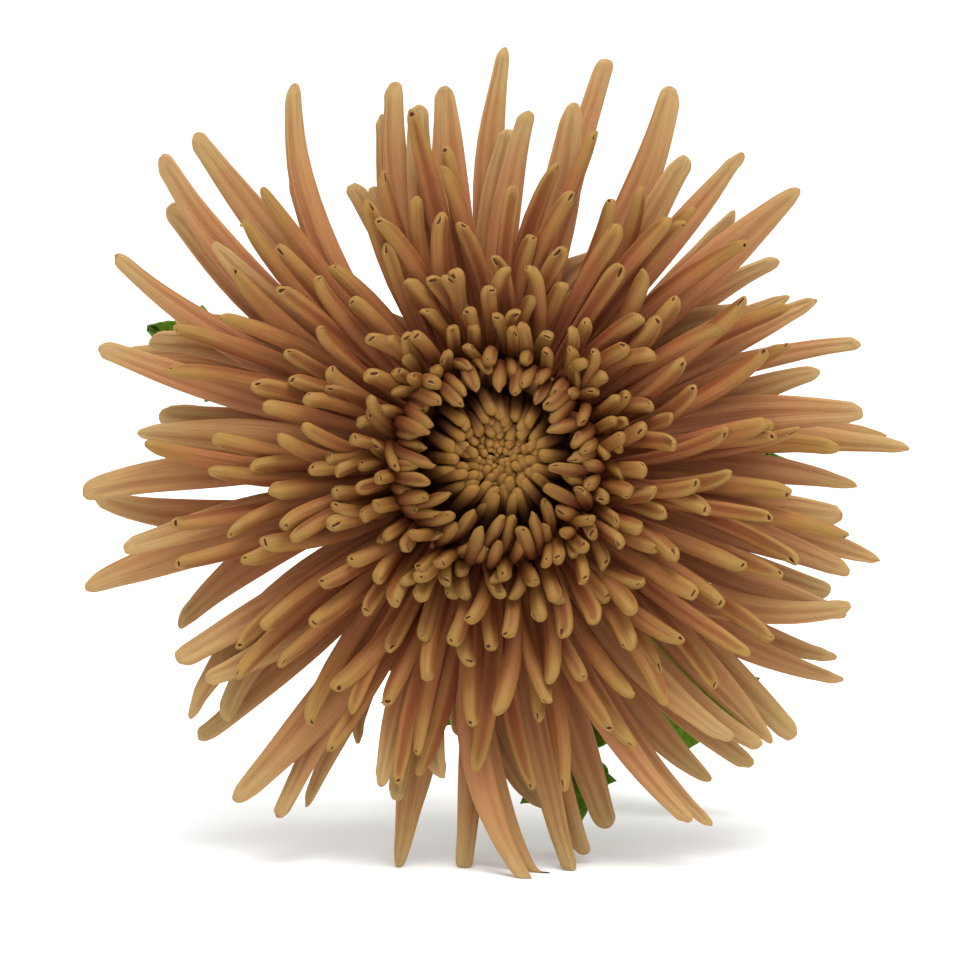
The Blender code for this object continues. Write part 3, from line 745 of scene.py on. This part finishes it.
def petal_finish(name, colours, blush, dark, streaks):
    """Satin petal skin, with fine veins and broader streaks running the length of each floret."""
    finish = Finish(name, Specular_IOR_Level=0.16, Subsurface_Weight=0.18)
    finish.feed(finish.shader.inputs["Subsurface Radius"], (1.0, 0.45, 0.20))
    finish.feed(finish.shader.inputs["Subsurface Scale"], 0.0020)
    place = finish.place()
    share = finish.attribute("along")
    tone = finish.attribute("tone")
    mouth = finish.attribute("mouth")
    grain = finish.attribute("grain", "Vector")
    crease = finish.attribute("crease")
    young = finish.attribute("young")
    veins = finish.noise(finish.stretched(grain, (2.6, 0.10, 1)), 1.0, 3)
    bands = finish.noise(finish.stretched(grain, (0.7, 0.050, 1)), 1.0, 2)
    clouds = finish.noise(place, 95, 3)
    specks = finish.noise(place, 900, 2)
    ripened = share + young * 0.05 + (clouds - 0.5) * 0.22 + (bands - 0.5) * 0.16
    skin = finish.ramp(ripened, colours)
    flush = (tone * 0.35 + bands.band(0.50, 0.72) * streaks) * (1 - share.band(0.72, 0.98) * 0.7)
    skin = finish.blend(flush * (1 - young * 0.9), skin, blush)
    # Painted shade deep in the bloom: the inner florets are darkened, at their feet most, over
    # their own colour
    skin = finish.blend(young * (1 - share.band(0.60, 0.97)), skin, YOUNG_FOOT_SHADE, "MULTIPLY")
    skin = finish.blend(young, skin, YOUNG_SKIN_AND_SHADE, "MULTIPLY")
    # Painted shade along the creases of the folds
    skin = finish.blend(crease.band(0.02, 0.55) * (0.30 + streaks), skin, CREASE_SHADE, "MULTIPLY")
    skin = finish.blend(veins.band(0.42, 0.72) * 0.30, skin, dark, "MULTIPLY")
    skin = finish.blend(bands.band(0.38, 0.24) * streaks, skin, dark, "MULTIPLY")
    skin = finish.blend(specks.band(0.56, 0.74) * 0.12, skin, dark, "MULTIPLY")
    burnt = (share + clouds * 0.014).band(1.0, 1.008) * tone.band(0.30, 0.55)
    skin = finish.blend(burnt * 0.75, skin, TIP_BROWN)
    # A painted highlight on the mouth's raised lip
    skin = finish.blend(mouth.band(0.04, 0.24) * 0.6, skin, MOUTH_LIP_HIGHLIGHT)
    # Painted shade in the mouth's slit
    skin = finish.blend(mouth.band(0.32, 0.58), skin, MOUTH_SHADE)
    finish.feed(finish.shader.inputs["Base Color"], skin)
    finish.feed(finish.shader.inputs["Roughness"], 0.42 + veins * 0.20 + clouds * 0.12)
    finish.relief(veins * 0.7 + specks * 0.3, 0.00024)
    return finish.material


def fold_place(column, sides):
    """Where across a floret this column of its points lies."""
    return math.sin(column * 2 * math.pi / sides)


def add_long(number, turn, reach, lean, width, layer, draw):
    """Adds one long floret, creased along one or two lines."""
    root = (ROOT_RADIUS[0], mix(*LONG_ROOT_HEIGHT, layer))
    tip = (reach * MILLIMETRE, mix(*LONG_TIP_HEIGHT, layer))
    sway = math.radians(lean)
    column = draw.choice((-1, 0, 0, 1))
    folds = [(fold_place(column, LONG_SIDES), 0.11, draw.uniform(0.4, 0.8))]
    if width > TWO_FOLD_WIDTH:
        second = column + draw.choice((-2, 2))
        folds.append((fold_place(second, LONG_SIDES), 0.10, draw.uniform(0.2, 0.7)))
    peak = draw.uniform(0.56, 0.68)
    # The more a floret tapers, the more pointed it ends
    taper = draw.uniform(0.34, 0.60)
    long_floret = Floret(
        Arc(turn - sway, root, tip, LONG_BEND, sway),
        width * MILLIMETRE,
        LONG_DEPTH,
        neck=0.44,
        peak=peak,
        taper=taper,
        roll=math.radians(draw.uniform(-14, 14)),
        folds=folds,
        end=0.46 + 6 * max(0, taper - 0.48),
    )
    stations = stations_of(long_floret, LONG_BODY, LONG_CAP)
    add_to(long_bm, drawn_out(long_floret, stations, LONG_SIDES, number, LONG_UNEVEN)[0])


long_bm = new_bloom_mesh()
turned(long_bm, CORE_PROFILE, CORE_STEPS)
long_draw = random.Random(11)
for index in range(SHORT_COUNT):
    turn = index * 2 * math.pi / SHORT_COUNT
    reach = SHORT_REACH * long_draw.uniform(0.75, 1.2)
    lean = long_draw.uniform(-9, 9)
    add_long(index + 500, turn, reach, lean, SHORT_WIDTH, SHORT_LAYER, long_draw)
for index, (hour, reach, lean, width) in enumerate(LONG_FLORETS):
    layer = (index % 3) / 2
    if width < PAIR_WIDTH:
        add_long(index, clock(hour), reach, lean, width, layer, long_draw)
    else:
        # The widest are pairs that lie side by side, one of them a little shorter
        aside = PAIR_ASIDE * width / reach
        shorter = long_draw.choice((-1, 1))
        for side in (-1, 1):
            turn = clock(hour) + side * aside
            length = reach * (long_draw.uniform(0.93, 0.98) if side == shorter else 1.0)
            number = index + 100 * (side + 2)
            half = width * PAIR_SHARE
            add_long(number, turn, length, lean, half, layer - 0.2 * side, long_draw)
long_florets = finished("long_florets", long_bm, BLOOM_PLACING)
rounded(long_florets)
long_florets.data.materials.append(
    petal_finish("long_floret_skin", LONG_COLOURS, LONG_BLUSH, (0.62, 0.42, 0.36), 0.15)
)
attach(long_florets, "root")
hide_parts("ray_florets")

# Quills: the inner whorls, round tubes that widen to a club at the tip, where most are open in a
# small mouth, painted dark as shade. They grew in spiral order round the core: the outer ones
# spread, and the inner ones stand up and hook inwards. Their skin is olive gold at the tip, bronze
# below.
GOLDEN_ANGLE = math.radians(137.508)
QUILL_COUNT = 244
# From the outermost quill to the innermost: reach, height, bend in degrees and width
QUILL_REACH = (0.0550, 0.0470, 0.0392, 0.0316, 0.0252, 0.0208, 0.0180)
QUILL_HEIGHT = (0.0068, 0.0095, 0.0117, 0.0133, 0.0146, 0.0160, 0.0172)
QUILL_BEND = (16, 14, 6, -12, -38, -60, -75)
QUILL_WIDTH = (0.0040, 0.0036, 0.0033, 0.0030, 0.0027, 0.0025, 0.0024)
QUILL_DEPTH = 0.0026
QUILL_STRAY = 0.0022
QUILL_UNEVEN = 0.00014
LEAST_BEND = 0.02
# The innermost whorls, which hook inwards, from the first hook to the last
HOOK_COUNT = 62
HOOK_ROOT = (0.0130, 0.0058)
HOOK_REACH = (0.0146, 0.0086)
HOOK_HEIGHT = (0.0182, 0.0202)
HOOK_BEND = (85, 125)
HOOK_WIDTH = 0.0025
HOOK_STRAY = 0.0012
QUILL_SIDES = 8
QUILL_BODY = (0.0, 0.40, 0.75)
QUILL_CAP = (1.0, 0.46, 0.24, 0.07, 0.0)
MOUTH_LIP = 0.00018
MOUTH_STRAY = 0.0001
# Mouths: share of the quills up to which each kind goes, its rings, first column and span,
# the range of what is left of its width, and how much of the slant it takes
MOUTHS = (
    (0.22, (4, 6), 0, 1, (0.25, 0.45), 0.4),
    (0.50, (5, 6), 0, 1, (0.50, 1.0), 1.0),
    (0.88, (5, 6), -1, 2, (0.35, 0.75), 1.0),
)
ROOT_HEIGHT = (0.0000, 0.0050)
# Clock angle and half width in degrees, and reach in metres, of the gaps between florets
GAPS = (
    (20.6, 3.6, 0.038), (42.1, 3.9, 0.029), (56.8, 3.5, 0.049), (76.2, 6.0, 0.031),
    (89.1, 1.4, 0.041), (99.3, 2.7, 0.041), (139.8, 2.8, 0.056), (144.6, 3.7, 0.055),
    (176.5, 3.2, 0.039), (179.7, 4.3, 0.030), (187.4, 6.3, 0.048), (199.3, 2.7, 0.050),
    (208.0, 1.5, 0.037), (219.6, 4.2, 0.033), (241.0, 7.0, 0.026), (264.9, 3.0, 0.035),
    (302.0, 4.5, 0.025), (312.3, 2.0, 0.048), (326.9, 7.0, 0.027), (338.0, 0.9, 0.034),
    (356.1, 4.8, 0.033),
)
QUILL_COLOURS = (
    (0.00, (0.335, 0.113, 0.044)),
    (0.35, (0.343, 0.124, 0.045)),
    (0.64, (0.303, 0.118, 0.038)),
    (0.84, (0.272, 0.127, 0.031)),
    (0.97, (0.277, 0.165, 0.040)),
)
QUILL_BLUSH = (0.310, 0.098, 0.042)


def clear_of_gaps(turn, reach):
    """The azimuth, moved to the nearer side of a gap that a floret of this reach would cross."""
    for hour, half_width, gap_reach in GAPS:
        away = (turn - clock(hour) + math.pi) % (2 * math.pi) - math.pi
        half = math.radians(half_width)
        if reach > gap_reach and abs(away) < half:
            return clock(hour) + math.copysign(half, away)
    return turn


def open_mouth(bm, places, rings, first, span, narrow, slant, draw):
    """Sinks a slit into a floret's skin between two rings, with a raised lip round it."""
    mouth_layer = bm.verts.layers.float["mouth"]
    step = 2 * math.pi / QUILL_SIDES
    columns = {(first + column) % QUILL_SIDES for column in range(span + 1)}
    chosen = []
    for face in bm.faces:
        face_rings = {places[vertex][0] for vertex in face.verts}
        around = {round(places[vertex][1] / step) % QUILL_SIDES for vertex in face.verts}
        if rings[0] <= min(face_rings) and max(face_rings) <= rings[1] and around <= columns:
            chosen.append(face)
    # Faces and corners are sorted, because the mesh holds them in another order in each run
    chosen.sort(key=lambda face: tuple(face.calc_center_median()))
    bmesh.ops.inset_region(bm, faces=chosen, thickness=MOUTH_LIP, depth=MOUTH_LIP * 0.4)
    bmesh.ops.inset_region(bm, faces=chosen, thickness=MOUTH_LIP * 0.3, depth=-MOUTH_LIP * 2.6)
    corners = sorted(
        {vertex for face in chosen for vertex in face.verts}, key=lambda vertex: tuple(vertex.co)
    )
    middle = sum((vertex.co for vertex in corners), Vector()) / len(corners)
    length = max(corners, key=lambda vertex: (vertex.co - middle).length).co - middle
    across = chosen[0].normal.cross(length).normalized()
    across = Matrix.Rotation(slant, 3, chosen[0].normal) @ across
    for vertex in corners:
        vertex[mouth_layer] = 1.0
        vertex.co -= across * (vertex.co - middle).dot(across) * (1 - narrow)
        vertex.co += strayed(draw, MOUTH_STRAY)


def add_quill(number, arc, width, neck, peak, taper, roll, young, draw):
    """Adds one quill, most of them with a mouth near the tip."""
    fold = (fold_place(draw.choice((-1, 0, 1)), QUILL_SIDES), 0.2, draw.uniform(0.2, 0.8))
    end = mix(0.5, 0.9, min(1, taper * 3))
    quill = Floret(arc, width, QUILL_DEPTH, neck, peak, taper, roll, [fold], end)
    tip_share = min(0.45, 1.3 * width / arc.length)
    stations = [share * (1 - tip_share) for share in QUILL_BODY]
    stations += [1 - tip_share * part for part in QUILL_CAP]
    bm, places = drawn_out(quill, stations, QUILL_SIDES, number, QUILL_UNEVEN, young)
    kind = draw.random()
    column = draw.choice((-2, -1, -1, 0, 0, 1))
    slant = math.radians(draw.uniform(-35, 35))
    for share, rings, shift, span, widths, tilt in MOUTHS:
        if kind < share:
            narrow = draw.uniform(*widths)
            open_mouth(bm, places, rings, column + shift, span, narrow, slant * tilt, draw)
            break
    add_to(quill_bm, bm)


def swirled(turn):
    """How far round the young florets' tips lean: they close on a point below the middle."""
    return math.radians(4 + 14 * math.cos(turn - clock(225)))


quill_bm = new_bloom_mesh()
quill_draw = random.Random(7)
mouth_draw = random.Random(41)
for index in range(QUILL_COUNT):
    rank = index / (QUILL_COUNT - 1)
    root = (mix(*ROOT_RADIUS, rank), mix(*ROOT_HEIGHT, rank))
    reach = along(QUILL_REACH, rank) * quill_draw.uniform(0.91, 1.08)
    height = along(QUILL_HEIGHT, rank) + quill_draw.uniform(-QUILL_STRAY, QUILL_STRAY)
    turn = clear_of_gaps(index * GOLDEN_ANGLE + math.radians(quill_draw.uniform(-3, 3)), reach)
    lean = math.radians(quill_draw.uniform(-7, 7) * mix(1.0, 2.2, rank))
    bend = math.radians(along(QUILL_BEND, rank) + quill_draw.uniform(-10, 10))
    if abs(bend) < LEAST_BEND:
        bend = LEAST_BEND
    width = along(QUILL_WIDTH, rank) * quill_draw.uniform(0.88, 1.12)
    quill_arc = Arc(turn - lean, root, (reach, height), bend, lean)
    neck = mix(0.45, 0.62, rank)
    peak = mix(0.70, 0.88, smooth(rank * 1.6))
    taper = quill_draw.uniform(0.25, 0.50) * (1 - smooth(rank * 1.5))
    add_quill(index, quill_arc, width, neck, peak, taper, 0, rank ** 2, mouth_draw)
for index in range(HOOK_COUNT):
    rank = index / (HOOK_COUNT - 1)
    reach = mix(*HOOK_REACH, rank) + quill_draw.uniform(-HOOK_STRAY, HOOK_STRAY)
    height = mix(*HOOK_HEIGHT, rank) + quill_draw.uniform(-HOOK_STRAY, HOOK_STRAY)
    turn = (QUILL_COUNT + index) * GOLDEN_ANGLE
    lean = swirled(turn) + math.radians(quill_draw.uniform(-12, 12))
    bend = math.radians(mix(*HOOK_BEND, rank) + quill_draw.uniform(-15, 15))
    hook_arc = Arc(turn - lean / 2, HOOK_ROOT, (reach, height), bend, lean)
    width = HOOK_WIDTH * quill_draw.uniform(0.88, 1.12)
    taper = quill_draw.choice((0.1, 0.3, 0.5, 0.6))
    add_quill(QUILL_COUNT + index, hook_arc, width, 0.6, 0.88, taper, math.pi, 1, mouth_draw)
quills = finished("quills", quill_bm, BLOOM_PLACING)
rounded(quills)
quills.data.materials.append(
    petal_finish("quill_skin", QUILL_COLOURS, QUILL_BLUSH, (0.55, 0.38, 0.30), 0.50)
)
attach(quills, "root")
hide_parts("ray_florets")

# Heart: the youngest florets, short closed grains that lie in a swirl over the middle. They grew
# last, on a low dome that is in this piece. Their skin is pale olive gold, painted darker towards
# the roots and over the dome as shade between the grains.
HEART_COUNT = 98
HEART_FOOT = 0.0130
HEART_SPREAD = 0.56
# From the innermost floret to the outermost: root height, how far out of its foot's distance
# the tip is, tip height, bend in degrees and width
HEART_ROOT_HEIGHT = (0.0160, 0.0095)
HEART_TIP_SHARE = (0.15, 0.49)
HEART_TIP_HEIGHT = (0.0190, 0.0180)
HEART_BEND = (40, 80)
HEART_WIDTH = (0.0010, 0.0022)
HEART_STRAY = 0.0012
HEART_UNEVEN = 0.00008
HEART_PROFILE = (
    (0, 0.0168), (0.0046, 0.0160), (0.0086, 0.0140), (0.0114, 0.0110),
    (0.0119, 0.0090), (0.0112, 0.0074), (0, 0.0074),
)
HEART_STEPS = 40
HEART_SIDES = 8
HEART_BODY = (0.0, 0.40, 0.75)
HEART_CAP = (1.0, 0.60, 0.22, 0.0)
# Colours from the root of a grain to its tip; the dark roots, whose colour the dome takes too, are
# painted shade between the grains
HEART_COLOURS_AND_SHADE = (
    (0.00, (0.062, 0.020, 0.006)),
    (0.30, (0.094, 0.033, 0.008)),
    (0.60, (0.142, 0.061, 0.012)),
    (0.85, (0.208, 0.108, 0.020)),
    (0.97, (0.293, 0.171, 0.038)),
)
HEART_BLUSH = (0.260, 0.115, 0.030)

heart_bm = new_bloom_mesh()
turned(heart_bm, HEART_PROFILE, HEART_STEPS)
heart_draw = random.Random(5)
for index in range(HEART_COUNT):
    rank = index / (HEART_COUNT - 1)
    size = (1 - 0.992 * rank) ** HEART_SPREAD
    foot = HEART_FOOT * size
    root = (foot, mix(*HEART_ROOT_HEIGHT, size ** 2))
    tip_height = mix(*HEART_TIP_HEIGHT, size) + heart_draw.uniform(0, HEART_STRAY)
    tip = (foot * mix(*HEART_TIP_SHARE, size), tip_height)
    bend = math.radians(mix(*HEART_BEND, size) + heart_draw.uniform(-12, 8))
    turn = index * GOLDEN_ANGLE
    swirl = swirled(turn) + math.radians(heart_draw.uniform(-9, 9))
    grain_arc = Arc(turn, root, tip, bend, swirl)
    width = mix(*HEART_WIDTH, size) * heart_draw.uniform(0.85, 1.12)
    grain = Floret(grain_arc, width, width * 0.8, neck=0.7, peak=0.5, end=0.55)
    stations = stations_of(grain, HEART_BODY, HEART_CAP)
    add_to(heart_bm, drawn_out(grain, stations, HEART_SIDES, index, HEART_UNEVEN, 1.0)[0])
heart = finished("heart_grains", heart_bm, BLOOM_PLACING)
rounded(heart)
heart.data.materials.append(
    petal_finish("heart_skin", HEART_COLOURS_AND_SHADE, HEART_BLUSH, (0.60, 0.45, 0.32), 0.40)
)
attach(heart, "root")
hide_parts("heart_florets")

# Floor and light: a plain white sheet that runs on far behind the flower, a pale room all round,
# and one large soft lamp above and in front.
FLOOR_SIZE = 12.0
FLOOR_DROP = 0.0001
FLOOR_COLOUR = (0.95, 0.95, 0.95)
ROOM_LIGHT = 1.05
LAMP_PLACE = Vector((0.15, -0.60, 1.5))
LAMP_SIZE = 0.9
LAMP_POWER = 25.0

floor_bm = bmesh.new()
bmesh.ops.create_grid(floor_bm, x_segments=1, y_segments=1, size=FLOOR_SIZE / 2)
bmesh.ops.translate(floor_bm, vec=(0, 0, -FLOOR_DROP), verts=floor_bm.verts)
floor_mesh = bpy.data.meshes.new("floor")
floor_bm.to_mesh(floor_mesh)
floor_bm.free()
floor = bpy.data.objects.new("floor", floor_mesh)
bpy.context.scene.collection.objects.link(floor)
floor.data.materials.append(Finish("floor_paper", Base_Color=FLOOR_COLOUR, Roughness=0.9).material)

world = bpy.data.worlds.new("studio")
bpy.context.scene.world = world
world.use_nodes = True
room = world.node_tree.nodes["Background"]
room.inputs["Color"].default_value = (1, 1, 1, 1)
room.inputs["Strength"].default_value = ROOM_LIGHT

lamp = bpy.data.lights.new("key", "AREA")
lamp.size = LAMP_SIZE
lamp.energy = LAMP_POWER
key = bpy.data.objects.new("key", lamp)
bpy.context.scene.collection.objects.link(key)
key.location = LAMP_PLACE
key.rotation_euler = (BLOOM_PLACE - LAMP_PLACE).to_track_quat("-Z", "Y").to_euler()

# Camera: in front of the bloom and a little above it, as in the photograph. Its picture is
# shifted so that the bloom's middle falls on the same pixel.
CAMERA_DISTANCE = 1.0
CAMERA_RISE = math.radians(8)
PICTURE_SIDE = 960
PICTURE_SPAN = 0.1485
BLOOM_PIXEL = (495, 466)

camera_data = bpy.data.cameras.new("camera")
camera_data.sensor_width = 36.0
camera_data.lens = camera_data.sensor_width * CAMERA_DISTANCE / PICTURE_SPAN
camera_data.shift_x = (PICTURE_SIDE / 2 - BLOOM_PIXEL[0]) / PICTURE_SIDE
camera_data.shift_y = (BLOOM_PIXEL[1] - PICTURE_SIDE / 2) / PICTURE_SIDE
camera = bpy.data.objects.new("camera", camera_data)
bpy.context.scene.collection.objects.link(camera)
camera.location = BLOOM_PLACE + CAMERA_DISTANCE * Vector(
    (0, -math.cos(CAMERA_RISE), math.sin(CAMERA_RISE))
)
camera.rotation_euler = (math.radians(90) - CAMERA_RISE, 0, 0)
bpy.context.scene.camera = camera
bpy.context.scene.view_settings.view_transform = "Standard"
